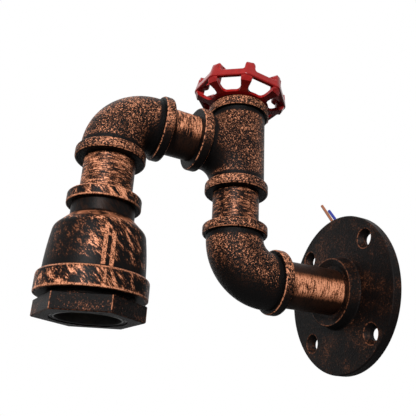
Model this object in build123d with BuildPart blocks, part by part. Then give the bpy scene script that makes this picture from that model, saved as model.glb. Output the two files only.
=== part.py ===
from build123d import *
from math import cos, hypot, isclose, pi, radians, sin, sqrt, tan
import os

# Industrial pipe wall light: an iron floor flange, short pipes, two elbows and a tee carry
# a bell reducer with a lampholder in it. A valve handwheel turns on top of the tee.
# Millimetres. The origin is the centre of the flange's back face, on the wall. +Y goes into
# the wall, the light stands out towards -Y, +Z is up. The pipes lie in the plane X = 0,
# apart from the arm, which is screwed up a little past straight.

# ---- pipe and thread sizes
pipe_od = 26.7
pipe_wall = 2.9
thread_depth = 12.0          # how far a pipe screws into a fitting

# ---- layout: bare pipe between the fittings' end faces
standoff = 45.3              # wall to the lower elbow's end face
riser_gap = 19.7
arm_gap = 17.1
drop_gap = 20.1
arm_turn = 2.5               # degrees about the column

# ---- elbows and tee
elbow_reach = 28.1           # centre to end face
tee_run_reach = 28.7
tee_branch_reach = 30.0
body_r = 16.1
bend_r = 21.0                # radius of the bend's middle line
crotch_inset = 0.05          # the bends in the tee are this much slimmer than its barrels
waterway_r = 11.0
bead_r = 18.4
elbow_bead_w = 5.6
tee_bead_w = 6.0
bead_round = 1.3
bead_root = 0.8              # how far a bead's ring reaches into the barrel

# ---- wall flange
flange_r = 46.7
flange_t = 5.1
flange_edge_round = 0.8
boss_base_r = 21.5
boss_front_r = 19.8
boss_h = 6.2
boss_root_round = 0.8
boss_lip_w = 0.9             # flat ring at the boss's front
boss_recess_r = 15.4
boss_recess_depth = 1.6
screw_count = 4
screw_pcd = 75.2
screw_hole_r = 3.4
countersink_r = 5.8
wall_pipe_recess = 1.0       # the wall pipe's end stops this far short of the wall

# ---- bell reducer, depths measured down from its top face
collar_r = 18.7
collar_w = 5.9
neck_r = 15.9
neck_end = 12.4
neck_round = 1.2
dome_r = 22.6
dome_depth = 19.2
dome_round = 5.0
belly_r = 24.0
belly_depth = 31.0
flare_r = 24.5
band_top = 41.5
band_r = 26.8
band_w = 10.0
band_round = 2.0
band_lip_round = 0.5
cavity_r = 18.6
cavity_top = 22.0
rib_w = 1.9
rib_h = 0.9
rib_root = 1.2               # how deep a rib's root is set into the wall
rib_angles = (-6.0, 2.5)     # degrees from the arm's side, repeated half a turn on
seam_w = 1.0
seam_h = 0.5
seam_angle = -3.0

# ---- hexagon bushing
hex_flats = 46.0
hex_h = 8.0
hex_turn = 7.5               # degrees from the arm's side
hex_gap = 2.0                # bare thread between band and hexagon
hex_edge_cut = 0.5
bushing_thread_r = 20.9
bushing_shank = 13.0         # thread length inside the band
bushing_bore_r = 18.1

# ---- lampholder
holder_clearance = 0.4       # its skirt in the bushing's bore
holder_mouth_r = 15.5
holder_recess = 0.5          # its rim sits this far inside the hexagon's face
holder_groove_r = 16.9
holder_groove_w = 0.6
holder_collar_r = 19.8
holder_collar_t = 2.0
holder_above_collar = 8.0
shell_bore_r = 13.3
shell_wall = 0.5
shell_length = 15.0
shell_mouth_depth = 7.5      # from the hexagon's face up to the shell's mouth
cap_seat_h = 1.5
cap_top_r = 6.0
cap_h = 9.0
cap_wall = 1.6
wire_entry_r = 4.2
block_r = 15.0
block_t = 6.0
contact_room = 5.0           # between the shell's top and the block
contact_t = 0.5
contact_w = 4.0
centre_pad_r = 3.4
centre_drop = 2.4
terminal_offset = 9.0
terminal_head_r = 2.4
terminal_head_t = 1.6
terminal_shank_r = 1.5

# ---- plug in the tee's top port, and the valve spindle that turns in it
plug_depth = 11.0
plug_pin_r = 1.5             # two blind holes take a pin spanner
plug_pin_offset = 9.0
plug_pin_depth = 4.0
spindle_r = 4.0
spindle_clearance = 0.05
axial_play = 0.3
shoulder_r = 5.6
shoulder_t = 0.8
washer_r = 6.4
washer_t = 0.7
spindle_square = 5.6
spindle_thread_r = 2.5
thread_beyond_nut = 1.0
clip_r = 6.4
clip_t = 1.0
clip_groove_r = 3.3
clip_mouth = 5.0
spindle_tail = 2.0           # spindle below the clip
nut_flats = 8.5
nut_h = 4.2

# ---- handwheel, heights measured up from the underside of its hub
spoke_count = 8
spoke_turn = -18.6           # degrees from +X to the first spoke
wheel_lean = 5.8             # the casting sits out of true on its square
wheel_lean_turn = 47.5       # degrees from +X to the side that it leans to
hub_boss_r = 7.6
hub_boss_h = 6.0
hub_plate_r = 18.2
hub_plate_t = 1.2
dish_start_r = 16.0          # the web rises from here
dish_rise = 3.1              # how far it rises to the rim
spoke_w = 4.7
spoke_end_t = 2.8
spoke_end_w = 7.6            # a spoke spreads to this width under its corner of the rim
spoke_flare_r = 22.5         # and starts to spread here
spoke_root_round = 3.2
spoke_flare_round = 4.0
rim_low = 5.9                # underside of the rim
rim_corner_r = 29.6
rim_w = 2.6
rim_h = 4.7
rim_draft = 9.0              # degrees, its outside leans in towards the top
rim_round = 0.9
rim_bend_r = 5.5             # at the rim's upright corners
lobe_turn = 2.8              # degrees that the lobes sit past the rim's corners
lobe_shoulder_h = 1.6        # a lobe's back starts to curve over here, above the rim's underside
lobe_tip_inner_r = 20.2
lobe_tip_outer_r = 27.0
lobe_h = 10.4                # its tip above the rim's underside
lobe_chin_h = 2.4            # its inner side runs from here on the rim's inner face
lobe_throat_h = 5.4          # up to here, and then straight up to the tip
lobe_w = 6.2
lobe_tip_round = 3.0
lobe_back_round = 2.2
lobe_back_r = 5.0            # the curve of its back
lobe_foot_round = 2.0        # the hollow curve between a lobe and the top of the rim
lobe_foot_sink = 0.6         # how far that curve ends below the rim's top
fin_w = 3.6                  # the fin between a spoke and the lobe above it
fin_toe_r = 23.2
dimple_r = 1.4
dimple_depth = 0.8
dimple_place_r = 23.4
dimple_h = 7.6               # dimple's centre above the rim's underside

# ---- wires
wire_r = 1.0
wire_spacing = 4.6           # between the two leads
lead_bend_r = 18.0
brown_tail_route = [
    (-2.3, 0, 0), (-2.3, 7.0, 0), (-2.3, 13.2, 3.7), (-2.5, 16.6, 10.2),
    (-3.6, 15.6, 20.6), (-10.0, 12.2, 36.0), (-19.2, 9.6, 53.8), (-30.3, 9.0, 70.0),
]
blue_tail_route = [
    (2.3, 0, 0), (2.3, 7.0, 0), (2.3, 13.2, 3.7), (2.2, 16.6, 10.2),
    (0.8, 15.9, 20.4), (-4.6, 12.6, 35.0), (-13.0, 9.9, 50.0), (-22.6, 9.0, 63.5),
]
bend_share = 0.45            # share of the shorter run that a bend's tangent takes

radius_match = 1e-4          # how close a sketch's corner lies to the radius that picks it

# ---- places worked out from the sizes above
pipe_r = pipe_od / 2
pipe_bore_r = pipe_r - pipe_wall
column_y = -(standoff + elbow_reach)
tee_z = elbow_reach + riser_gap + tee_run_reach
tee_top_z = tee_z + tee_run_reach
arm_length = tee_branch_reach + arm_gap + elbow_reach
arm_dir = Vector(sin(radians(arm_turn)), -cos(radians(arm_turn)), 0)
arm_side = Vector(cos(radians(arm_turn)), sin(radians(arm_turn)), 0)
up = Vector(0, 0, 1)
column_foot = Vector(0, column_y, 0)
tee_centre = column_foot + up * tee_z
upper_corner = tee_centre + arm_dir * arm_length
reducer_top = upper_corner - up * (elbow_reach + drop_gap)
lamp_axis = Axis(reducer_top, up)
hex_top = band_top + band_w + hex_gap
hex_bottom = hex_top + hex_h
ledge_depth = band_top + band_w - bushing_shank - holder_collar_t


# A level plane across the lamp's axis, depth below the reducer's top.
def lamp_plane(depth):
    return Plane(origin=reducer_top - up * depth, x_dir=arm_side, z_dir=up)


# An upright plane on an axis: x runs out from it at an angle to the side, y runs along it.
def upright_plane(foot, side, axis_dir, angle):
    out = side.rotate(Axis((0, 0, 0), axis_dir), angle)
    return Plane(origin=foot, x_dir=out, z_dir=out.cross(axis_dir))


def lamp_section(angle):
    return upright_plane(reducer_top, arm_side, up, angle)


def column_plane(height):
    return Plane(origin=column_foot + up * height, x_dir=(1, 0, 0), z_dir=up)


# Rounds the corner of a sketch that lies nearest to a point.
def round_corner(sketch, point, radius):
    fillet(sketch.vertices().sort_by_distance((*point, 0))[0], radius)


# The corners of a sketch that lie at a radius from its centre.
def corners_at(sketch, radius):
    return sketch.vertices().filter_by(lambda v: isclose(hypot(v.X, v.Y), radius, abs_tol=radius_match))


# The bead of a port whose end face is at the plane's origin and looks along its normal.
def add_bead(face, width):
    section = Plane(origin=face.origin, x_dir=face.x_dir, z_dir=face.x_dir.cross(face.z_dir))
    with BuildSketch(section) as ring:
        with Locations(((bead_r + body_r - bead_root) / 2, -width / 2)):
            Rectangle(bead_r - body_r + bead_root, width)
        fillet(ring.vertices().group_by(Axis.X)[-1], bead_round)
    revolve(ring.sketch, axis=Axis(face.origin, face.z_dir))


# The threaded socket of a port, cut to the depth that a pipe screws in.
def cut_socket(face):
    with BuildSketch(face) as mouth:
        Circle(pipe_r)
    extrude(mouth.sketch, amount=-thread_depth, mode=Mode.SUBTRACT)


# A beaded elbow with its corner at the plane's origin: one port looks along the plane's
# normal, the other along its y direction.
def elbow_casting(place):
    corner = place.origin
    ports = [
        Plane(origin=corner + place.z_dir * elbow_reach, x_dir=place.x_dir, z_dir=place.z_dir),
        Plane(origin=corner + place.y_dir * elbow_reach, x_dir=place.x_dir, z_dir=place.y_dir),
    ]
    with BuildPart() as casting:
        with BuildLine() as middle:
            FilletPolyline(ports[0].origin, corner, ports[1].origin, radius=bend_r)
        with BuildSketch(ports[0]):
            Circle(body_r)
        sweep(path=middle.line)
        for port in ports:
            add_bead(port, elbow_bead_w)
        with BuildSketch(ports[0]):
            Circle(waterway_r)
        sweep(path=middle.line, mode=Mode.SUBTRACT)
        for port in ports:
            cut_socket(port)
    return casting


# A plain pipe nipple between two points on its axis.
def pipe_nipple(start, end):
    along = end - start
    with BuildPart() as nipple:
        with BuildSketch(Plane(origin=start, z_dir=along)):
            Circle(pipe_r)
            Circle(pipe_bore_r, mode=Mode.SUBTRACT)
        extrude(amount=along.length)
    return nipple


# ---- wall flange: a disc with a tapered boss, turned about the wall pipe's axis
boss_front_y = -flange_t - boss_h
with BuildPart() as wall_flange:
    with BuildSketch(Plane.XY) as flange_section:
        Polygon(
            (pipe_r, 0),
            (flange_r, 0),
            (flange_r, -flange_t),
            (boss_base_r, -flange_t),
            (boss_front_r, boss_front_y),
            (boss_front_r - boss_lip_w, boss_front_y),
            (boss_recess_r, boss_front_y + boss_recess_depth),
            (pipe_r, boss_front_y + boss_recess_depth),
            align=None,
        )
        round_corner(flange_section, (flange_r, -flange_t), flange_edge_round)
        round_corner(flange_section, (boss_base_r, -flange_t), boss_root_round)
    revolve(axis=Axis.Y)
    with Locations(Plane(origin=(0, -flange_t, 0), x_dir=(1, 0, 0), z_dir=(0, -1, 0))):
        with PolarLocations(screw_pcd / 2, screw_count, 180 / screw_count):
            CounterSinkHole(screw_hole_r, countersink_r)

# ---- pipes and elbows from the wall to the lamp
wall_nipple = pipe_nipple(
    Vector(0, -standoff - thread_depth, 0), Vector(0, -wall_pipe_recess, 0)
)
lower_elbow = elbow_casting(Plane(origin=column_foot, x_dir=(-1, 0, 0), z_dir=(0, 1, 0)))
riser_nipple = pipe_nipple(
    column_foot + up * (elbow_reach - thread_depth),
    column_foot + up * (elbow_reach + riser_gap + thread_depth),
)
arm_nipple = pipe_nipple(
    tee_centre + arm_dir * (tee_branch_reach - thread_depth),
    tee_centre + arm_dir * (tee_branch_reach + arm_gap + thread_depth),
)
upper_elbow = elbow_casting(Plane(origin=upper_corner, x_dir=arm_side, z_dir=-arm_dir))
drop_nipple = pipe_nipple(
    reducer_top - up * thread_depth, reducer_top + up * (drop_gap + thread_depth)
)

# ---- tee: a straight run, a branch, and a bend from the branch to each end of the run
branch_end = tee_centre + arm_dir * tee_branch_reach
run_ports = [
    Plane(origin=tee_centre + up * tee_run_reach, x_dir=arm_side, z_dir=up),
    Plane(origin=tee_centre - up * tee_run_reach, x_dir=arm_side, z_dir=-up),
]
branch_port = Plane(origin=branch_end, x_dir=arm_side, z_dir=arm_dir)
with BuildPart() as tee:
    with BuildSketch(run_ports[1]):
        Circle(body_r)
    extrude(amount=-2 * tee_run_reach)
    with BuildSketch(branch_port):
        Circle(body_r)
    extrude(amount=-tee_branch_reach)
    for port in run_ports:
        with BuildLine() as branch_bend:
            FilletPolyline(port.origin, tee_centre, branch_end, radius=bend_r)
        with BuildSketch(port):
            Circle(body_r - crotch_inset)
        sweep(path=branch_bend.line)
    for port in run_ports + [branch_port]:
        add_bead(port, tee_bead_w)
    with BuildSketch(run_ports[1]):
        Circle(waterway_r)
    extrude(amount=-2 * tee_run_reach, mode=Mode.SUBTRACT)
    with BuildSketch(branch_port):
        Circle(waterway_r)
    extrude(amount=-tee_branch_reach, mode=Mode.SUBTRACT)
    for port in run_ports + [branch_port]:
        cut_socket(port)

# ---- bell reducer: a small collar, a neck, a domed body that flares, and a large band
with BuildPart() as bell_reducer:
    with BuildSketch(lamp_section(0)) as bell_section:
        with BuildLine():
            Polyline(
                (pipe_r, 0),
                (collar_r, 0),
                (collar_r, -collar_w),
                (neck_r, -collar_w),
                (neck_r, -neck_end),
                (dome_r, -dome_depth),
            )
            ThreePointArc((dome_r, -dome_depth), (belly_r, -belly_depth), (flare_r, -band_top))
            Polyline(
                (flare_r, -band_top),
                (band_r, -band_top),
                (band_r, -band_top - band_w),
                (bushing_thread_r, -band_top - band_w),
                (bushing_thread_r, -ledge_depth),
                (cavity_r, -ledge_depth),
                (cavity_r, -cavity_top),
                (waterway_r, -cavity_top + cavity_r - waterway_r),
                (waterway_r, -thread_depth),
                (pipe_r, -thread_depth),
                (pipe_r, 0),
            )
        make_face()
        round_corner(bell_section, (collar_r, 0), bead_round)
        round_corner(bell_section, (collar_r, -collar_w), band_lip_round)
        round_corner(bell_section, (neck_r, -neck_end), neck_round)
        round_corner(bell_section, (dome_r, -dome_depth), dome_round)
        round_corner(bell_section, (band_r, -band_top), band_round)
        round_corner(bell_section, (band_r, -band_top - band_w), band_lip_round)
    revolve(axis=lamp_axis)
    for half_turn in (0, 180):
        for angle in rib_angles:
            with BuildSketch(lamp_section(angle + half_turn)):
                with BuildLine():
                    ThreePointArc(
                        (dome_r, -dome_depth),
                        (belly_r + rib_h, -belly_depth),
                        (flare_r + rib_h, -band_top - rib_root),
                    )
                    Polyline(
                        (flare_r + rib_h, -band_top - rib_root),
                        (dome_r - rib_root, -band_top - rib_root),
                        (dome_r - rib_root, -dome_depth),
                        (dome_r, -dome_depth),
                    )
                make_face()
            extrude(amount=rib_w / 2, both=True)
        with BuildSketch(lamp_section(seam_angle + half_turn)):
            with Locations((band_r, -band_top - band_w / 2)):
                Rectangle(2 * seam_h, band_w - 2 * band_round)
        extrude(amount=seam_w / 2, both=True)

# ---- hexagon bushing: its thread runs up into the band, the lampholder stands in its bore
with BuildPart() as hex_bushing:
    with BuildSketch(lamp_plane(hex_bottom)):
        RegularPolygon(hex_flats / 2, 6, major_radius=False, rotation=hex_turn)
    extrude(amount=hex_h)
    chamfer(hex_bushing.faces().filter_by(Axis.Z).edges(), hex_edge_cut)
    with BuildSketch(lamp_plane(hex_top)):
        Circle(bushing_thread_r)
    extrude(amount=hex_gap + bushing_shank)
    with BuildSketch(lamp_plane(hex_bottom)):
        Circle(bushing_bore_r)
    extrude(amount=hex_h + hex_gap + bushing_shank, mode=Mode.SUBTRACT)

# ---- lampholder: a skirt with a collar that the bushing clamps against the reducer's ledge
holder_r = bushing_bore_r - holder_clearance
rim_depth = hex_bottom - holder_recess
shell_mouth = hex_bottom - shell_mouth_depth
shell_top = shell_mouth - shell_length
shell_r = shell_bore_r + shell_wall
block_foot = shell_top - contact_room
holder_top = ledge_depth - holder_above_collar
with BuildPart() as lampholder_body:
    with BuildSketch(lamp_section(0)):
        Polygon(
            (holder_mouth_r, -rim_depth),
            (holder_r, -rim_depth),
            (holder_r, -ledge_depth - holder_collar_t),
            (holder_collar_r, -ledge_depth - holder_collar_t),
            (holder_collar_r, -ledge_depth),
            (holder_r, -ledge_depth),
            (holder_r, -holder_top),
            (block_r, -holder_top),
            (block_r, -block_foot),
            (shell_r, -block_foot),
            (shell_r, -shell_mouth),
            (holder_mouth_r, -shell_mouth),
            align=None,
        )
    revolve(axis=lamp_axis)
    with BuildSketch(lamp_plane(rim_depth)):
        Circle(holder_groove_r)
        Circle(holder_groove_r - holder_groove_w, mode=Mode.SUBTRACT)
    extrude(amount=holder_groove_w, mode=Mode.SUBTRACT)

with BuildPart() as lampholder_cap:
    with BuildSketch(lamp_section(0)):
        Polygon(
            (wire_entry_r, -holder_top + cap_h),
            (cap_top_r, -holder_top + cap_h),
            (holder_r, -holder_top + cap_seat_h),
            (holder_r, -holder_top),
            (holder_r - cap_wall, -holder_top),
            (holder_r - cap_wall, -holder_top + cap_seat_h),
            (cap_top_r, -holder_top + cap_h - cap_wall),
            (wire_entry_r, -holder_top + cap_h - cap_wall),
            align=None,
        )
    revolve(axis=lamp_axis)

with BuildPart() as screw_shell:
    with BuildSketch(lamp_plane(shell_mouth)):
        Circle(shell_r)
        Circle(shell_bore_r, mode=Mode.SUBTRACT)
    extrude(amount=shell_length)

# ---- contact block with its two contacts and the terminal screws
block_top = block_foot - block_t
with BuildPart() as contact_block:
    with BuildSketch(lamp_plane(block_foot)):
        Circle(block_r)
        with GridLocations(2 * terminal_offset, 0, 2, 1):
            Circle(terminal_shank_r, mode=Mode.SUBTRACT)
    extrude(amount=block_t)


# A terminal screw: its head stands on the block, its shank goes down to a contact.
def terminal_screw(side):
    head_plane = lamp_plane(block_top)
    place = Plane(
        origin=head_plane.origin + arm_side * side * terminal_offset,
        x_dir=head_plane.x_dir,
        z_dir=head_plane.z_dir,
    )
    with BuildPart() as screw:
        with BuildSketch(place):
            Circle(terminal_head_r)
        extrude(amount=terminal_head_t)
        with BuildSketch(place):
            Circle(terminal_shank_r)
        extrude(amount=-block_t)
    return screw


live_terminal = terminal_screw(-1)
neutral_terminal = terminal_screw(1)

tab_start = terminal_offset - terminal_head_r
tab_end = terminal_offset + terminal_head_r
with BuildPart() as centre_contact:
    with BuildSketch(lamp_section(0)):
        Polygon(
            (-tab_end, -block_foot),
            (-tab_start, -block_foot),
            (-centre_pad_r, -block_foot - centre_drop + contact_t),
            (centre_pad_r, -block_foot - centre_drop + contact_t),
            (centre_pad_r, -block_foot - centre_drop),
            (-centre_pad_r - contact_t, -block_foot - centre_drop),
            (-tab_start - contact_t, -block_foot - contact_t),
            (-tab_end, -block_foot - contact_t),
            align=None,
        )
    extrude(amount=contact_w / 2, both=True)

# The shell's contact runs out along the block and stands on the shell's top edge.
shell_contact_r = sqrt(shell_r**2 - (contact_w / 2) ** 2)
with BuildPart() as shell_contact:
    with BuildSketch(lamp_section(0)):
        Polygon(
            (tab_start, -block_foot),
            (shell_contact_r, -block_foot),
            (shell_contact_r, -shell_top),
            (shell_contact_r - contact_t, -shell_top),
            (shell_contact_r - contact_t, -block_foot - contact_t),
            (tab_start, -block_foot - contact_t),
            align=None,
        )
    extrude(amount=contact_w / 2, both=True)

# ---- plug in the tee's top port, flush with its bead
with BuildPart() as spindle_plug:
    with BuildSketch(column_plane(tee_top_z)):
        Circle(pipe_r)
        Circle(spindle_r + spindle_clearance, mode=Mode.SUBTRACT)
    extrude(amount=-plug_depth)
    with BuildSketch(column_plane(tee_top_z)):
        with GridLocations(2 * plug_pin_offset, 0, 2, 1):
            Circle(plug_pin_r)
    extrude(amount=-plug_pin_depth, mode=Mode.SUBTRACT)

# ---- spindle: it turns in the plug between its shoulder and a clip below the plug
shoulder_z = tee_top_z + axial_play
washer_z = shoulder_z + shoulder_t
hub_z = washer_z + washer_t
nut_z = hub_z + hub_boss_h
clip_z = tee_top_z - plug_depth - axial_play
spindle_end_z = clip_z - clip_t - spindle_tail
with BuildPart() as valve_spindle:
    with BuildSketch(column_plane(spindle_end_z)):
        Circle(spindle_r)
    extrude(amount=shoulder_z - spindle_end_z)
    with BuildSketch(column_plane(shoulder_z)):
        Circle(shoulder_r)
    extrude(amount=shoulder_t)
    with BuildSketch(column_plane(washer_z)):
        Rectangle(spindle_square, spindle_square, rotation=spoke_turn)
    extrude(amount=nut_z - washer_z)
    with BuildSketch(column_plane(nut_z)):
        Circle(spindle_thread_r)
    extrude(amount=nut_h + thread_beyond_nut)
    with BuildSketch(column_plane(clip_z)):
        Circle(spindle_r)
        Circle(clip_groove_r, mode=Mode.SUBTRACT)
    extrude(amount=-clip_t, mode=Mode.SUBTRACT)

with BuildPart() as spindle_clip:
    with BuildSketch(column_plane(clip_z)):
        Circle(clip_r)
        Circle(clip_groove_r, mode=Mode.SUBTRACT)
        with Locations((clip_r, 0)):
            Rectangle(2 * clip_r, clip_mouth, mode=Mode.SUBTRACT)
    extrude(amount=-clip_t)

with BuildPart() as thrust_washer:
    with BuildSketch(column_plane(washer_z)):
        Circle(washer_r)
        Rectangle(spindle_square, spindle_square, rotation=spoke_turn, mode=Mode.SUBTRACT)
    extrude(amount=washer_t)

with BuildPart() as wheel_nut:
    with BuildSketch(column_plane(nut_z)):
        RegularPolygon(nut_flats / 2, 6, major_radius=False, rotation=spoke_turn)
        Circle(spindle_thread_r, mode=Mode.SUBTRACT)
    extrude(amount=nut_h)

# ---- handwheel: the casting's own axis leans, its hub is faced square to the spindle
lean_out = sin(radians(wheel_lean))
wheel_dir = Vector(
    lean_out * cos(radians(wheel_lean_turn)),
    lean_out * sin(radians(wheel_lean_turn)),
    cos(radians(wheel_lean)),
)
wheel_side = Vector(0, 1, 0).cross(wheel_dir).normalized()
hub_centre = column_foot + up * hub_z
wheel_axis = Axis(hub_centre, wheel_dir)
spoke_pitch = 360 / spoke_count
rim_inner_r = rim_corner_r - rim_w / cos(pi / spoke_count)


# A plane square to the wheel's own axis, its x direction along the first spoke.
def wheel_plane(height):
    first_spoke = wheel_side.rotate(Axis((0, 0, 0), wheel_dir), spoke_turn)
    return Plane(origin=hub_centre + wheel_dir * height, x_dir=first_spoke, z_dir=wheel_dir)


def wheel_section(angle):
    return upright_plane(hub_centre, wheel_side, wheel_dir, spoke_turn + angle)


# The blank that the rim and the lobes are cut from: a drafted prism with soft corners.
def rim_blank(height):
    with BuildPart() as blank:
        with BuildSketch(wheel_plane(rim_low)):
            RegularPolygon(rim_corner_r, spoke_count)
        extrude(amount=height, taper=rim_draft)
        ends = blank.faces().sort_by(wheel_axis)
        fillet(blank.edges() - ends[0].edges() - ends[-1].edges(), rim_bend_r)
        ends = blank.faces().sort_by(wheel_axis)
        fillet(ends[0].edges() + ends[-1].edges(), rim_round)
    return blank.part


# The dished web: a flat hub plate from which the spokes rise to the rim.
with BuildPart() as wheel_web:
    with BuildSketch(wheel_section(0)):
        Polygon(
            (0, 0),
            (dish_start_r, 0),
            (rim_inner_r, dish_rise),
            (rim_corner_r - rim_w / 2, rim_low),
            (rim_corner_r - rim_w / 2, rim_low + rim_round),
            (rim_inner_r, dish_rise + spoke_end_t),
            (dish_start_r, hub_plate_t),
            (0, hub_plate_t),
            align=None,
        )
    revolve(axis=wheel_axis)
    with BuildSketch(wheel_plane(0)):
        RegularPolygon(rim_corner_r - rim_round, spoke_count)
    extrude(amount=rim_low + rim_h, both=True, mode=Mode.INTERSECT)
    with BuildSketch(wheel_plane(0)) as gaps:
        Circle(rim_corner_r)
        Circle(hub_plate_r, mode=Mode.SUBTRACT)
        with PolarLocations(0, spoke_count):
            Polygon(
                (0, -spoke_w / 2),
                (spoke_flare_r, -spoke_w / 2),
                (rim_corner_r, -spoke_end_w / 2),
                (rim_corner_r + rim_w, -spoke_end_w / 2),
                (rim_corner_r + rim_w, spoke_end_w / 2),
                (rim_corner_r, spoke_end_w / 2),
                (spoke_flare_r, spoke_w / 2),
                (0, spoke_w / 2),
                align=None,
                mode=Mode.SUBTRACT,
            )
        fillet(corners_at(gaps, hub_plate_r), spoke_root_round)
        fillet(corners_at(gaps, hypot(spoke_flare_r, spoke_w / 2)), spoke_flare_round)
    extrude(amount=rim_low + rim_h, both=True, mode=Mode.SUBTRACT)

# The middle of the dished web's thickness at a radius.
def web_mid(radius):
    share = (radius - dish_start_r) / (rim_inner_r - dish_start_r)
    return (1 - share) * hub_plate_t / 2 + share * (dish_rise + spoke_end_t / 2)


# A lobe's foot: the rim rises to it in a hollow curve on both sides.
lobe_tip = rim_low + lobe_h
foot_h = rim_low + rim_h - lobe_foot_sink
foot_top = foot_h + lobe_foot_round + rim_round
foot_w = lobe_w / 2 + lobe_foot_round + lobe_foot_sink
lobe_face = wheel_section(lobe_turn)
lobe_front = Plane(origin=hub_centre, x_dir=-lobe_face.z_dir, z_dir=lobe_face.x_dir)
with BuildPart() as lobe_foot:
    add(rim_blank(foot_top - rim_low))
    with BuildSketch(lobe_front) as foot_view:
        Polygon(
            (-foot_w, rim_low + rim_round),
            (-foot_w, foot_h),
            (-lobe_w / 2, foot_h),
            (-lobe_w / 2, foot_top),
            (lobe_w / 2, foot_top),
            (lobe_w / 2, foot_h),
            (foot_w, foot_h),
            (foot_w, rim_low + rim_round),
            align=None,
        )
        for side in (-1, 1):
            round_corner(foot_view, (side * lobe_w / 2, foot_h), lobe_foot_round)
    extrude(amount=rim_corner_r, mode=Mode.INTERSECT)
    with BuildSketch(wheel_plane(rim_low)):
        RegularPolygon(rim_inner_r, spoke_count)
    extrude(amount=foot_top, mode=Mode.SUBTRACT)

# One lobe: a tongue with a full round top. Its back carries on the faces of the rim, its
# nose reaches in over the spoke, and a thin fin joins the two.
with BuildPart() as lobe:
    add(rim_blank(lobe_h))
    with BuildSketch(lobe_face) as side_view:
        Polygon(
            (rim_inner_r, rim_low),
            (rim_corner_r, rim_low),
            (rim_corner_r, rim_low + lobe_shoulder_h),
            (lobe_tip_outer_r, lobe_tip),
            (lobe_tip_inner_r, lobe_tip),
            (lobe_tip_inner_r, rim_low + lobe_throat_h),
            (rim_inner_r - rim_round, rim_low + lobe_chin_h),
            (rim_inner_r, rim_low + lobe_chin_h),
            align=None,
        )
        round_corner(side_view, (rim_corner_r, rim_low + lobe_shoulder_h), lobe_back_r)
        round_corner(side_view, (lobe_tip_outer_r, lobe_tip), lobe_back_round)
        round_corner(side_view, (lobe_tip_inner_r, lobe_tip), lobe_back_round)
        round_corner(side_view, (lobe_tip_inner_r, rim_low + lobe_throat_h), lobe_back_round)
    extrude(amount=lobe_w / 2, both=True, mode=Mode.INTERSECT)
    with BuildSketch(lobe_front) as end_view:
        with Locations((0, (rim_low + lobe_tip) / 2)):
            Rectangle(lobe_w, lobe_h)
        for side in (-1, 1):
            round_corner(end_view, (side * lobe_w / 2, lobe_tip), lobe_tip_round)
    extrude(amount=rim_corner_r, mode=Mode.INTERSECT)
    add(lobe_foot.part)
    with BuildSketch(lobe_face):
        Polygon(
            (fin_toe_r, web_mid(fin_toe_r)),
            (lobe_tip_inner_r + lobe_back_round, rim_low + lobe_throat_h + lobe_back_round),
            (rim_inner_r + rim_round, rim_low + lobe_throat_h + lobe_back_round),
            (rim_inner_r + rim_round, rim_low + rim_round),
            (rim_inner_r, web_mid(rim_inner_r)),
            align=None,
        )
    extrude(amount=fin_w / 2, both=True)
    dimple_reach = lobe_w / 2 + dimple_r - dimple_depth
    for side in (-1, 1):
        with Locations(
            Plane(
                origin=hub_centre
                + lobe_face.x_dir * dimple_place_r
                + wheel_dir * (rim_low + dimple_h)
                + lobe_face.z_dir * side * dimple_reach
            )
        ):
            Sphere(dimple_r, mode=Mode.SUBTRACT)

with BuildPart() as handwheel:
    add(rim_blank(rim_h))
    with BuildSketch(wheel_plane(rim_low)):
        RegularPolygon(rim_inner_r, spoke_count)
    extrude(amount=rim_h, mode=Mode.SUBTRACT)
    add(wheel_web.part)
    for k in range(spoke_count):
        add(lobe.part.rotate(wheel_axis, k * spoke_pitch))
    with BuildSketch(column_plane(hub_z)):
        Circle(hub_boss_r)
    extrude(amount=hub_boss_h)
    with BuildSketch(column_plane(hub_z)):
        Circle(hub_boss_r)
    extrude(amount=-shoulder_t, mode=Mode.SUBTRACT)
    with BuildSketch(column_plane(hub_z)):
        Rectangle(spindle_square, spindle_square, rotation=spoke_turn)
    extrude(amount=hub_boss_h, mode=Mode.SUBTRACT)


# The radius at each corner of a wire's route, as large as its two runs allow.
def bend_radii(route):
    runs = [Vector(b) - Vector(a) for a, b in zip(route, route[1:])]
    return [
        bend_share * min(a.length, b.length) / tan(radians(a.get_angle(b)) / 2)
        for a, b in zip(runs, runs[1:])
    ]


# A round wire along straight runs joined by arcs.
def wire_tube(route, radii):
    with BuildPart() as wire:
        with BuildLine() as path:
            FilletPolyline(*route, radius=radii)
        with BuildSketch(Plane(origin=path.line @ 0, z_dir=path.line % 0)):
            Circle(wire_r)
        sweep(path=path.line)
    return wire, path.wire().length


# The route of a lead from the contact block through the pipes to the wall.
def lead_route(side):
    offset = arm_side * (side * wire_spacing / 2)
    return [
        reducer_top - up * block_top + offset,
        upper_corner + offset,
        tee_centre + offset,
        column_foot + offset,
        Vector(side * wire_spacing / 2, 0, 0),
    ]


# ---- wires: two leads inside the pipes, and their tails that come out behind the flange
brown_lead, brown_lead_length = wire_tube(lead_route(-1), [lead_bend_r] * 3)
blue_lead, blue_lead_length = wire_tube(lead_route(1), [lead_bend_r] * 3)
brown_tail, brown_tail_length = wire_tube(brown_tail_route, bend_radii(brown_tail_route))
blue_tail, blue_tail_length = wire_tube(blue_tail_route, bend_radii(blue_tail_route))
print("leads", round(brown_lead_length, 1), round(blue_lead_length, 1), "bends", lead_bend_r)
print("brown tail", round(brown_tail_length, 1), [round(r, 1) for r in bend_radii(brown_tail_route)])
print("blue tail", round(blue_tail_length, 1), [round(r, 1) for r in bend_radii(blue_tail_route)])

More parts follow.
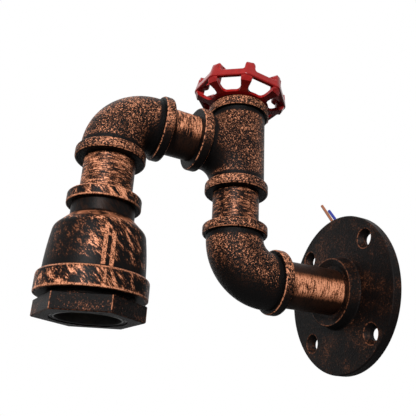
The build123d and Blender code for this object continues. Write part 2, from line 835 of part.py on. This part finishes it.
# ---- labels and files
pieces = {
    "wall_flange": wall_flange,
    "wall_nipple": wall_nipple,
    "lower_elbow": lower_elbow,
    "riser_nipple": riser_nipple,
    "tee": tee,
    "arm_nipple": arm_nipple,
    "upper_elbow": upper_elbow,
    "drop_nipple": drop_nipple,
    "bell_reducer": bell_reducer,
    "hex_bushing": hex_bushing,
    "lampholder_body": lampholder_body,
    "lampholder_cap": lampholder_cap,
    "screw_shell": screw_shell,
    "contact_block": contact_block,
    "live_terminal": live_terminal,
    "neutral_terminal": neutral_terminal,
    "centre_contact": centre_contact,
    "shell_contact": shell_contact,
    "spindle_plug": spindle_plug,
    "valve_spindle": valve_spindle,
    "spindle_clip": spindle_clip,
    "thrust_washer": thrust_washer,
    "handwheel": handwheel,
    "wheel_nut": wheel_nut,
    "brown_lead": brown_lead,
    "blue_lead": blue_lead,
    "brown_tail": brown_tail,
    "blue_tail": blue_tail,
}
os.makedirs("parts", exist_ok=True)
for name, piece in pieces.items():
    piece.part.label = name
    export_step(piece.part, f"parts/{name}.step")
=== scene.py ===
import bpy
from math import cos, radians, sin
from mathutils import Matrix, Vector


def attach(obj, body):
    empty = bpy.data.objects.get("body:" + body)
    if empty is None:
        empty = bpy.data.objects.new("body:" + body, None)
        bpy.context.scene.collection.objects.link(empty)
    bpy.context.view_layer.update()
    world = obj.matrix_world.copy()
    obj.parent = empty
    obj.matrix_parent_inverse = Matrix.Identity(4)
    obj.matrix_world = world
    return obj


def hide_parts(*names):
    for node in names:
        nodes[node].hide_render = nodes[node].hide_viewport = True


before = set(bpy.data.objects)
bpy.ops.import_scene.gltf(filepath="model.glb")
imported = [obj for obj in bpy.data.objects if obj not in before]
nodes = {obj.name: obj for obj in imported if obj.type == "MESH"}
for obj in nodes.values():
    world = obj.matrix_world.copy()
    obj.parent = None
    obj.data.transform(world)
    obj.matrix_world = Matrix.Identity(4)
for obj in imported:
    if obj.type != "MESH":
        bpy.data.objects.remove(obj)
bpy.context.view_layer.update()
scene = bpy.context.scene
print("frame loaded", len(nodes), "nodes")

# Where the fittings stand, in metres, as in the part's source.
line = {
    "columnY": -0.0734,
    "teeZ": 0.0765,
    "armTurn": radians(2.5),
    "armLength": 0.0752,
    "reducerTopZ": 0.0283,
}
up = Vector((0, 0, 1))
armDir = Vector((sin(line["armTurn"]), -cos(line["armTurn"]), 0))
armSide = Vector((cos(line["armTurn"]), sin(line["armTurn"]), 0))
columnFoot = Vector((0, line["columnY"], 0))
teeCentre = columnFoot + up * line["teeZ"]
upperCorner = teeCentre + armDir * line["armLength"]
reducerTop = Vector((upperCorner.x, upperCorner.y, line["reducerTopZ"]))


# ---- camera: where the photograph was taken from
camera = {
    "place": (0.2412, -0.1908, -0.0716),
    "azimuth": radians(67.42),
    "elevation": radians(-22.45),
    "roll": radians(3.16),
    "lens": 43.757,
    "sensor": 36.0,
}


def placeCamera(c):
    side = Vector((cos(c["azimuth"]), sin(c["azimuth"]), 0))
    back = Vector((
        sin(c["azimuth"]) * cos(c["elevation"]),
        -cos(c["azimuth"]) * cos(c["elevation"]),
        sin(c["elevation"]),
    ))
    top = back.cross(side)
    right = side * cos(c["roll"]) + top * sin(c["roll"])
    above = back.cross(right)
    data = bpy.data.cameras.new("photoCamera")
    data.lens = c["lens"]
    data.sensor_width = c["sensor"]
    data.clip_start = 0.01
    data.clip_end = 20
    body = bpy.data.objects.new("photoCamera", data)
    turn = Matrix((right, above, back)).transposed().to_4x4()
    body.matrix_world = Matrix.Translation(c["place"]) @ turn
    scene.collection.objects.link(body)
    scene.camera = body


placeCamera(camera)


# ---- small helpers for materials
def blankMaterial(name, roughness=0.5, metallic=0.0, specular=0.5):
    mat = bpy.data.materials.new(name)
    mat.use_nodes = True
    shader = mat.node_tree.nodes["Principled BSDF"]
    shader.inputs["Roughness"].default_value = roughness
    shader.inputs["Metallic"].default_value = metallic
    shader.inputs["Specular IOR Level"].default_value = specular
    return mat, mat.node_tree, shader


def put(tree, kind, links=None, **settings):
    node = tree.nodes.new(kind)
    for key, value in settings.items():
        setattr(node, key, value)
    for key, value in (links or {}).items():
        socket = node.inputs[key]
        if isinstance(value, bpy.types.NodeSocket):
            tree.links.new(value, socket)
        else:
            socket.default_value = value
    return node


def sums(tree, operation, a, b=0.0, c=0.0, clamp=False):
    return put(tree, "ShaderNodeMath", {0: a, 1: b, 2: c}, operation=operation,
               use_clamp=clamp).outputs[0]


def vectors(tree, operation, a, b=(0, 0, 0), out=0):
    return put(tree, "ShaderNodeVectorMath", {0: a, 1: b}, operation=operation).outputs[out]


def place(tree):
    return put(tree, "ShaderNodeTexCoord").outputs["Object"]


def grain(tree, coords, scale, detail=3.0, rough=0.55, distort=0.0):
    return put(tree, "ShaderNodeTexNoise",
               {"Vector": coords, "Scale": scale, "Detail": detail,
                "Roughness": rough, "Distortion": distort}).outputs["Fac"]


def ramp(tree, value, low, high, smooth=True):
    return put(tree, "ShaderNodeMapRange",
               {"Value": value, "From Min": low, "From Max": high},
               interpolation_type="SMOOTHSTEP" if smooth else "LINEAR", clamp=True,
               ).outputs["Result"]


def blendColour(tree, amount, a, b):
    node = put(tree, "ShaderNodeMix", data_type="RGBA")
    for socket, value in ((node.inputs[0], amount), (node.inputs[6], a), (node.inputs[7], b)):
        if isinstance(value, bpy.types.NodeSocket):
            tree.links.new(value, socket)
        else:
            socket.default_value = value
    return node.outputs[2]


def bump(tree, shader, height, strength, distance=0.0003):
    node = put(tree, "ShaderNodeBump",
               {"Height": height, "Strength": strength, "Distance": distance})
    tree.links.new(node.outputs["Normal"], shader.inputs["Normal"])


def biggest(tree, values):
    total = values[0]
    for value in values[1:]:
        total = sums(tree, "MAXIMUM", total, value)
    return total


# How far along an axis a point lies, and how far out from it.
def aboutAxis(tree, coords, foot, along):
    offset = vectors(tree, "SUBTRACT", coords, tuple(foot))
    reach = vectors(tree, "DOT_PRODUCT", offset, tuple(along), out=1)
    onAxis = put(tree, "ShaderNodeVectorMath", {0: tuple(along), "Scale": reach},
                 operation="SCALE").outputs[0]
    radial = vectors(tree, "SUBTRACT", offset, onAxis)
    return reach, vectors(tree, "LENGTH", radial, out=1), radial


# Black iron, the brown where the rub is thin, and full copper.
coatTones = [(0.0, (0.0020, 0.0016, 0.0016, 1)), (0.35, (0.016, 0.0062, 0.0034, 1)),
             (0.72, (0.24, 0.086, 0.042, 1)), (1.0, (0.66, 0.28, 0.155, 1))]


def rubbedShader(tree, shader, amount, metal=0.05, smooth=0.34, dull=0.46):
    tones = put(tree, "ShaderNodeValToRGB", {"Fac": amount})
    steps = tones.color_ramp.elements
    while len(steps) < len(coatTones):
        steps.new(0.5)
    for step, (spot, colour) in zip(steps, coatTones):
        step.position = spot
        step.color = colour
    tree.links.new(tones.outputs["Color"], shader.inputs["Base Color"])
    tree.links.new(sums(tree, "MULTIPLY", amount, metal), shader.inputs["Metallic"])
    tree.links.new(put(tree, "ShaderNodeMapRange",
                       {"Value": amount, "To Min": dull, "To Max": smooth}
                       ).outputs["Result"], shader.inputs["Roughness"])


# ---- castings: black iron with copper rubbed into its grain and along its bead edges, and painted shade on the undersides and behind the beads
castLook = {
    "grainScale": 2000.0,
    "clumpScale": 900.0,
    "patchScale": 110.0,
    "gloss": 0.06,
    "edgeWidth": 0.0006,
    "beadR": 0.0184,
    "pipeR": 0.01335,
}


# 1 at a distance of nothing, 0 at the given width.
def near(tree, distance, width):
    return ramp(tree, distance, width, width * 0.3)


def twoAway(tree, a, b):
    squares = sums(tree, "ADD", sums(tree, "MULTIPLY", a, a), sums(tree, "MULTIPLY", b, b))
    return sums(tree, "SQRT", squares)


def beadRub(tree, coords, port, along, width, radius=castLook["beadR"]):
    reach, out, _ = aboutAxis(tree, coords, port, along)
    middle = sums(tree, "ADD", reach, width / 2)
    fromEdge = sums(tree, "SUBTRACT", sums(tree, "ABSOLUTE", middle), width / 2 - 0.0003)
    fromRim = sums(tree, "SUBTRACT", out, radius - 0.0003)
    return near(tree, twoAway(tree, fromEdge, fromRim), castLook["edgeWidth"])


# The end face of a bead stays black, and the hollow behind it is darkened as painted shade.
def beadShade(tree, coords, port, along, width, radius=castLook["beadR"]):
    reach, out, _ = aboutAxis(tree, coords, port, along)
    inside = ramp(tree, out, radius - 0.0004, radius - 0.0012)
    face = ramp(tree, sums(tree, "ABSOLUTE", reach), 0.0009, 0.0004)
    root = near(tree, sums(tree, "ABSOLUTE", sums(tree, "ADD", reach, width + 0.0010)), 0.0028)
    return sums(tree, "MULTIPLY", inside, sums(tree, "MAXIMUM", face, root))


# Rub along one round edge, such as a hole's rim.
def ringRub(tree, coords, foot, along, radius, width=castLook["edgeWidth"]):
    reach, out, _ = aboutAxis(tree, coords, foot, along)
    return near(tree, twoAway(tree, reach, sums(tree, "SUBTRACT", out, radius)), width)


# Rub along a straight edge.
def lineRub(tree, coords, foot, along, width=castLook["edgeWidth"]):
    return near(tree, aboutAxis(tree, coords, foot, along)[1], width)


# The outside of a bead takes more copper than the barrel.
def beadTop(tree, coords, port, along, width, radius=castLook["beadR"]):
    reach, out, _ = aboutAxis(tree, coords, port, along)
    within = sums(tree, "MULTIPLY", ramp(tree, reach, -width - 0.0002, -width + 0.0006),
                  ramp(tree, reach, 0.0002, -0.0004))
    return sums(tree, "MULTIPLY", within, ramp(tree, out, radius - 0.0012, radius - 0.0003))


def castMaterial(name, ports, rub=0.5, rings=(), patchShare=0.16, edgeRub=0.9, lines=(),
                 full=1.0):
    mat, tree, shader = blankMaterial(name, specular=castLook["gloss"])
    coords = place(tree)
    fine = grain(tree, coords, castLook["grainScale"], 3.0, 0.65)
    middle = grain(tree, coords, castLook["clumpScale"], 2.0, 0.5)
    patch = grain(tree, coords, castLook["patchScale"], 2.0, 0.5)
    total = 1.0 + patchShare
    mixed = sums(tree, "ADD", sums(tree, "MULTIPLY", fine, 0.65 / total),
                 sums(tree, "ADD", sums(tree, "MULTIPLY", middle, 0.35 / total),
                      sums(tree, "MULTIPLY", patch, patchShare / total)))
    if ports:
        tops = biggest(tree, [beadTop(tree, coords, *port) for port in ports])
        mixed = sums(tree, "ADD", mixed, sums(tree, "MULTIPLY", tops, 0.020))
    speckleAndShade = ramp(tree, mixed, 0.525 - 0.10 * rub, 0.635 - 0.10 * rub, False)
    # Painted shade: copper fades out on faces turned downwards, so the undersides stay black.
    upwards = vectors(tree, "DOT_PRODUCT", put(tree, "ShaderNodeTexCoord").outputs["Normal"],
                      (0, 0, 1), out=1)
    speckleAndShade = sums(tree, "MULTIPLY", speckleAndShade, ramp(tree, upwards, -0.85, -0.10))
    # Painted shade: the hollow behind each bead is darkened (see beadShade).
    for port in ports:
        speckleAndShade = sums(tree, "MULTIPLY", speckleAndShade,
                       sums(tree, "SUBTRACT", 1.0, beadShade(tree, coords, *port)))
    edges = [beadRub(tree, coords, *port) for port in ports]
    edges += [ringRub(tree, coords, *ring) for ring in rings]
    edges += [lineRub(tree, coords, *edge) for edge in lines]
    wornEdges = sums(tree, "MULTIPLY", biggest(tree, edges), ramp(tree, middle, 0.30, 0.55))
    amount = biggest(tree, [sums(tree, "MULTIPLY", speckleAndShade, full),
                            sums(tree, "MULTIPLY", wornEdges, edgeRub)])
    rubbedShader(tree, shader, amount)
    bump(tree, shader, sums(tree, "ADD", fine, middle), 0.6, 0.0004)
    return mat


elbowBead, teeBead = 0.0056, 0.0060
elbowReach, teeReach, branchReach = 0.0281, 0.0287, 0.0300
lowerPorts = [
    (columnFoot + up * elbowReach, up, elbowBead),
    (columnFoot + Vector((0, elbowReach, 0)), Vector((0, 1, 0)), elbowBead),
]
upperPorts = [
    (upperCorner - armDir * elbowReach, -armDir, elbowBead),
    (upperCorner - up * elbowReach, -up, elbowBead),
]
teePorts = [
    (teeCentre + up * teeReach, up, teeBead),
    (teeCentre - up * teeReach, -up, teeBead),
    (teeCentre + armDir * branchReach, armDir, teeBead),
]


flangeFront, holeOffset = -0.0051, 0.0376 * sin(radians(45))
flangeRings = [(Vector((0, -0.0113, 0)), Vector((0, 1, 0)), 0.0196)] + [
    (Vector((x * holeOffset, flangeFront, z * holeOffset)), Vector((0, 1, 0)), 0.0058)
    for x in (-1, 1) for z in (-1, 1)
]


# ---- hexagon: its upright edges and those round its face
hexagon = {
    "cornerR": 0.02656,
    "turn": 7.5,
    "faceDepth": 0.0615,
    "sides": 6,
}


def hexEdges(h):
    face = reducerTop - up * h["faceDepth"]
    corners = []
    for k in range(h["sides"]):
        angle = line["armTurn"] + radians(h["turn"] + 360 / h["sides"] * k)
        corners.append(face + Vector((cos(angle), sin(angle), 0)) * h["cornerR"])
    upright = [(corner, up) for corner in corners]
    around = [(a, (b - a).normalized()) for a, b in zip(corners, corners[1:] + corners[:1])]
    return upright + around


# ---- bare pipe: copper brushed round it over black, with painted light on one side where a lit side is given
def pipeMaterial(name, foot, along, rub=0.5, litSide=None, limits=(0.84, 0.99)):
    mat, tree, shader = blankMaterial(name, specular=castLook["gloss"])
    coords = place(tree)
    reach, out, radial = aboutAxis(tree, coords, foot, along)
    turned = put(tree, "ShaderNodeVectorMath", {0: radial, "Scale": 0.14}, operation="SCALE")
    onAxis = put(tree, "ShaderNodeVectorMath", {0: tuple(along), "Scale": reach},
                 operation="SCALE").outputs[0]
    ringed = vectors(tree, "ADD", turned.outputs[0], onAxis)
    strokes = grain(tree, ringed, 1900.0, 2.0, 0.6)
    patch = grain(tree, coords, 150.0, 2.0, 0.5)
    speck = grain(tree, coords, 1500.0, 2.0, 0.6)
    mixed = sums(tree, "ADD", sums(tree, "MULTIPLY", strokes, 0.50),
                 sums(tree, "ADD", sums(tree, "MULTIPLY", patch, 0.25),
                      sums(tree, "MULTIPLY", speck, 0.35)))
    amount = ramp(tree, mixed, 0.52 - 0.14 * rub, 0.70 - 0.14 * rub, False)
    # Painted light and shade: copper stays full in a strip facing the lit side and falls to 35%
    # elsewhere as painted shade.
    if litSide:
        towardsLitSide = vectors(tree, "DOT_PRODUCT", radial, litSide, out=1)
        band = ramp(tree, towardsLitSide, *[share * castLook["pipeR"] for share in limits])
        amount = sums(tree, "MULTIPLY", amount,
                      sums(tree, "ADD", 0.35, sums(tree, "MULTIPLY", band, 0.65)))
    rubbedShader(tree, shader, amount)
    bump(tree, shader, sums(tree, "ADD", strokes, speck), 0.4, 0.0002)
    return mat


# ---- bell reducer: slanting brushed copper strokes, a rubbed shoulder and rubbed edges, with painted shade on one side of the belly and in the crease above the lower collar, and a darker neck
reducerLook = {
    "strokeLeans": (-0.95, -0.60),
    "bellyEnds": ((0.0192, 0.0226), (0.0415, 0.0245)),
    "bellyMiddle": (0.0310, 0.0240),
    "shadedSide": (0.25, -0.97, 0.0),
    "span": 0.05,
}


def reducerMaterial(name, look):
    mat, tree, shader = blankMaterial(name, specular=castLook["gloss"])
    coords = place(tree)
    reach, out, radial = aboutAxis(tree, coords, reducerTop, -up)
    offset = vectors(tree, "SUBTRACT", coords, tuple(reducerTop))
    hairs, sweeps = [], []
    for lean in look["strokeLeans"]:
        turned = put(tree, "ShaderNodeMapping",
                     {"Vector": offset, "Rotation": (lean, 0.0, 0.0), "Scale": (1.0, 9.0, 1.0)},
                     vector_type="TEXTURE").outputs[0]
        hairs.append(grain(tree, turned, 1700.0, 2.0, 0.6))
        sweeps.append(grain(tree, turned, 480.0, 1.0, 0.5))
    speck = grain(tree, coords, 1700.0, 2.0, 0.6)
    patch = grain(tree, coords, 130.0, 1.0, 0.5)
    mixed = sums(tree, "ADD", sums(tree, "MULTIPLY", biggest(tree, hairs), 0.34),
                 sums(tree, "ADD", sums(tree, "MULTIPLY", biggest(tree, sweeps), 0.34),
                      sums(tree, "ADD", sums(tree, "MULTIPLY", patch, 0.16),
                           sums(tree, "MULTIPLY", speck, 0.16))))
    brushed = ramp(tree, mixed, 0.515, 0.61, False)

    belly = put(tree, "ShaderNodeFloatCurve", {"Value": sums(tree, "DIVIDE", reach, look["span"])})
    profile = belly.mapping.curves[0]
    for spot, (depth, radius) in zip(profile.points, look["bellyEnds"]):
        spot.location = (depth / look["span"], radius / look["span"])
    profile.points.new(*[value / look["span"] for value in look["bellyMiddle"]])
    belly.mapping.update()
    proud = sums(tree, "SUBTRACT", out, sums(tree, "MULTIPLY", belly.outputs[0], look["span"]))
    onBelly = sums(tree, "MULTIPLY", ramp(tree, reach, 0.0188, 0.0205),
                   ramp(tree, reach, 0.0415, 0.0408))
    ribs = sums(tree, "MULTIPLY", ramp(tree, proud, 0.0004, 0.0007), onBelly)
    seams = ramp(tree, out, 0.02690, 0.02705)

    # Painted shade: the belly darkens on the side turned towards -Y and in the crease where it meets
    # the lower collar; the neck is kept darker too.
    facing = sums(tree, "DIVIDE", vectors(tree, "DOT_PRODUCT", radial, look["shadedSide"], out=1), out)
    shaded = sums(tree, "MULTIPLY", ramp(tree, facing, 0.45, 0.85), onBelly)
    neck = sums(tree, "MULTIPLY", ramp(tree, reach, 0.0055, 0.0062), ramp(tree, reach, 0.0142, 0.0128))
    creviceShade = sums(tree, "MULTIPLY", ramp(tree, reach, 0.0372, 0.0395),
                   ramp(tree, out, 0.0253, 0.0247))
    for dark, share in ((shaded, 0.45), (neck, 0.72), (creviceShade, 0.9)):
        brushed = sums(tree, "MULTIPLY", brushed,
                       sums(tree, "SUBTRACT", 1.0, sums(tree, "MULTIPLY", dark, share)))

    shoulder = sums(tree, "MULTIPLY", ramp(tree, reach, 0.0130, 0.0142),
                    ramp(tree, reach, 0.0185, 0.0160))
    rims = [ringRub(tree, coords, reducerTop - up * depth, up, radius, width)
            for depth, radius, width in ((0.0420, 0.0263, 0.0014), (0.0511, 0.0267, 0.0011),
                                         (0.0005, 0.0184, 0.0009), (0.0056, 0.0186, 0.0010))]
    broken = ramp(tree, speck, 0.28, 0.55)
    worn = sums(tree, "MULTIPLY", biggest(tree, rims + [ribs, seams]), broken)
    smooth = sums(tree, "MULTIPLY", shoulder, ramp(tree, patch, 0.25, 0.55))
    amount = biggest(tree, [brushed, sums(tree, "MULTIPLY", worn, 0.92),
                            sums(tree, "MULTIPLY", smooth, 0.74)])
    rubbedShader(tree, shader, amount)
    bump(tree, shader, sums(tree, "ADD", hairs[0], speck), 0.4, 0.0002)
    return mat


# ---- plain finishes with fine variation
def plainMaterial(name, light, dark, roughness, metallic=0.0, specular=0.5, scale=600.0,
                  depth=0.1):
    mat, tree, shader = blankMaterial(name, roughness, metallic, specular)
    coords = place(tree)
    fine = grain(tree, coords, scale, 3.0, 0.6)
    tree.links.new(blendColour(tree, ramp(tree, fine, 0.3, 0.7), dark, light),
                   shader.inputs["Base Color"])
    tree.links.new(put(tree, "ShaderNodeMapRange",
                       {"Value": fine, "To Min": roughness - 0.06, "To Max": roughness + 0.06}
                       ).outputs["Result"], shader.inputs["Roughness"])
    bump(tree, shader, fine, depth, 0.0002)
    return mat


finishes = {
    "wall_flange": castMaterial("flangeCasting", [], 0.3, flangeRings, 0.35, 0.62, (), 0.5),
    "lower_elbow": castMaterial("lowerElbowCasting", lowerPorts, 0.4),
    "tee": castMaterial("teeCasting", teePorts, 0.42),
    "upper_elbow": castMaterial("upperElbowCasting", upperPorts, 0.45),
    # The wall and arm pipes carry painted light on their lit side and painted shade on the rest.
    "wall_nipple": pipeMaterial("wallPipe", Vector((0, 0, 0)), Vector((0, 1, 0)), 0.9,
                                (0.985, 0.0, -0.17)),
    "riser_nipple": pipeMaterial("riserPipe", columnFoot, up, 0.25),
    "arm_nipple": pipeMaterial("armPipe", teeCentre, armDir, 0.6, (0.55, 0.0, 0.835),
                               (-0.05, 0.45)),
    "drop_nipple": pipeMaterial("dropPipe", reducerTop, up, 0.4),
    "bell_reducer": reducerMaterial("reducerBrushed", reducerLook),
    "hex_bushing": castMaterial("bushingCasting", [], 0.1, (), 0.4, 0.8, hexEdges(hexagon), 0.75),
    "lampholder_body": plainMaterial("holderBlack", (0.03, 0.03, 0.031, 1),
                                     (0.02, 0.02, 0.02, 1), 0.3),
    "lampholder_cap": plainMaterial("capBlack", (0.03, 0.03, 0.031, 1), (0.02, 0.02, 0.02, 1), 0.35),
    "contact_block": plainMaterial("blockCeramic", (0.75, 0.73, 0.68, 1), (0.66, 0.64, 0.6, 1), 0.5),
    "spindle_plug": plainMaterial("plugIron", (0.03, 0.02, 0.018, 1), (0.012, 0.01, 0.01, 1), 0.45,
                                  0.4),
    "handwheel": plainMaterial("wheelRed", (0.27, 0.0075, 0.0065, 1), (0.21, 0.005, 0.005, 1), 0.26,
                               0.0, 0.25, 350.0),
    "brown_lead": plainMaterial("leadBrown", (0.30, 0.10, 0.04, 1), (0.25, 0.08, 0.035, 1), 0.4),
    "blue_lead": plainMaterial("leadBlue", (0.01, 0.02, 0.24, 1), (0.008, 0.015, 0.2, 1), 0.4),
}
brass = plainMaterial("contactBrass", (0.70, 0.50, 0.22, 1), (0.60, 0.42, 0.18, 1), 0.3, 1.0)
steel = plainMaterial("spindleSteel", (0.50, 0.50, 0.50, 1), (0.40, 0.40, 0.40, 1), 0.35, 1.0)
for name in ("screw_shell", "live_terminal", "neutral_terminal", "centre_contact", "shell_contact"):
    finishes[name] = brass
for name in ("valve_spindle", "spindle_clip", "thrust_washer", "wheel_nut"):
    finishes[name] = steel


def dressNode(name):
    mesh = nodes[name].data
    mesh.materials.clear()
    mesh.materials.append(finishes[name])


for name in finishes:
    dressNode(name)
print("materials done", len(finishes))


# ---- the two wire tails: one smooth line each, out of the wall end of the pipe
tailPoints = {
    "brownTail": [
        (-0.0023, 0, 0), (-0.0023, 0.0070, 0), (-0.0023, 0.0132, 0.0037),
        (-0.0025, 0.0166, 0.0102), (-0.0036, 0.0156, 0.0206), (-0.0100, 0.0122, 0.0360),
        (-0.0192, 0.0096, 0.0538), (-0.0303, 0.0090, 0.0700),
    ],
    "blueTail": [
        (0.0023, 0, 0), (0.0023, 0.0070, 0), (0.0023, 0.0132, 0.0037),
        (0.0022, 0.0166, 0.0102), (0.0008, 0.0159, 0.0204), (-0.0046, 0.0126, 0.0350),
        (-0.0130, 0.0099, 0.0500), (-0.0226, 0.0090, 0.0635),
    ],
}
tails = {
    "brownTail": {"node": "brown_tail", "slot": "wire_brown", "length": 0.0883,
                  "lead": "brown_lead"},
    "blueTail": {"node": "blue_tail", "slot": "wire_blue", "length": 0.0812,
                 "lead": "blue_lead"},
}
wireDiameter = 0.002


def makeTail(name, facts, points):
    curve = bpy.data.curves.new(name, "CURVE")
    curve.dimensions = "3D"
    curve.bevel_depth = wireDiameter / 2
    curve.bevel_resolution = 6
    curve.use_fill_caps = True
    curve.resolution_u = 10
    spline = curve.splines.new("NURBS")
    spline.points.add(len(points) - 1)
    for spot, point in zip(spline.points, points):
        spot.co = (*point, 1)
    spline.order_u = 3
    spline.use_endpoint_u = True
    wire = bpy.data.objects.new(name, curve)
    scene.collection.objects.link(wire)
    curve.materials.append(finishes[facts["lead"]])
    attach(wire, "fitting_line")
    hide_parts(facts["node"])


for name, facts in tails.items():
    makeTail(name, facts, tailPoints[name])
print("tails done")


# ---- floor, white surroundings and soft lamps
studio = {
    "floorZ": -0.45,
    "floorSize": 6.0,
    "ambient": 0.035,
    "floorSeen": (0.8, 0.8, 0.8, 1),
    "floorBounce": (0.05, 0.05, 0.05, 1),
}


def makeFloor(s):
    mesh = bpy.data.meshes.new("floor")
    half = s["floorSize"] / 2
    corners = [(-half, -half), (half, -half), (half, half), (-half, half)]
    mesh.from_pydata([(x, y, s["floorZ"]) for x, y in corners], [], [(0, 1, 2, 3)])
    floor = bpy.data.objects.new("floor", mesh)
    scene.collection.objects.link(floor)
    mat, tree, shader = blankMaterial("floorPale", 0.8)
    path = put(tree, "ShaderNodeLightPath")
    seen = biggest(tree, [path.outputs["Is Camera Ray"], path.outputs["Is Glossy Ray"],
                          path.outputs["Is Transmission Ray"]])
    tree.links.new(blendColour(tree, seen, s["floorBounce"], s["floorSeen"]),
                   shader.inputs["Base Color"])
    mesh.materials.append(mat)


def makeWorld(s):
    world = bpy.data.worlds.new("studioWorld")
    world.use_nodes = True
    scene.world = world
    tree = world.node_tree
    tree.nodes.clear()
    path = put(tree, "ShaderNodeLightPath")
    seen = biggest(tree, [path.outputs["Is Camera Ray"], path.outputs["Is Glossy Ray"],
                          path.outputs["Is Transmission Ray"]])
    soft = put(tree, "ShaderNodeBackground", {"Color": (1, 1, 1, 1), "Strength": s["ambient"]})
    plain = put(tree, "ShaderNodeBackground", {"Color": (1, 1, 1, 1), "Strength": 1.0})
    mix = put(tree, "ShaderNodeMixShader", {0: seen, 1: soft.outputs[0], 2: plain.outputs[0]})
    out = put(tree, "ShaderNodeOutputWorld")
    tree.links.new(mix.outputs[0], out.inputs["Surface"])


def addLamp(name, spot, aim, size, power):
    data = bpy.data.lights.new(name, "AREA")
    data.shape = "RECTANGLE"
    data.size, data.size_y = size
    data.energy = power
    lamp = bpy.data.objects.new(name, data)
    lamp.location = spot
    lamp.rotation_euler = (Vector(aim) - Vector(spot)).to_track_quat("-Z", "Y").to_euler()
    scene.collection.objects.link(lamp)


makeFloor(studio)
makeWorld(studio)
centre = (0, -0.09, 0.04)
addLamp("keyLamp", (0.92, -0.66, 0.26), centre, (0.24, 0.24), 19)
addLamp("topLamp", (-0.45, -0.35, 0.95), centre, (0.6, 0.6), 0.8)
print("stage done")

scene.view_settings.view_transform = "Standard"
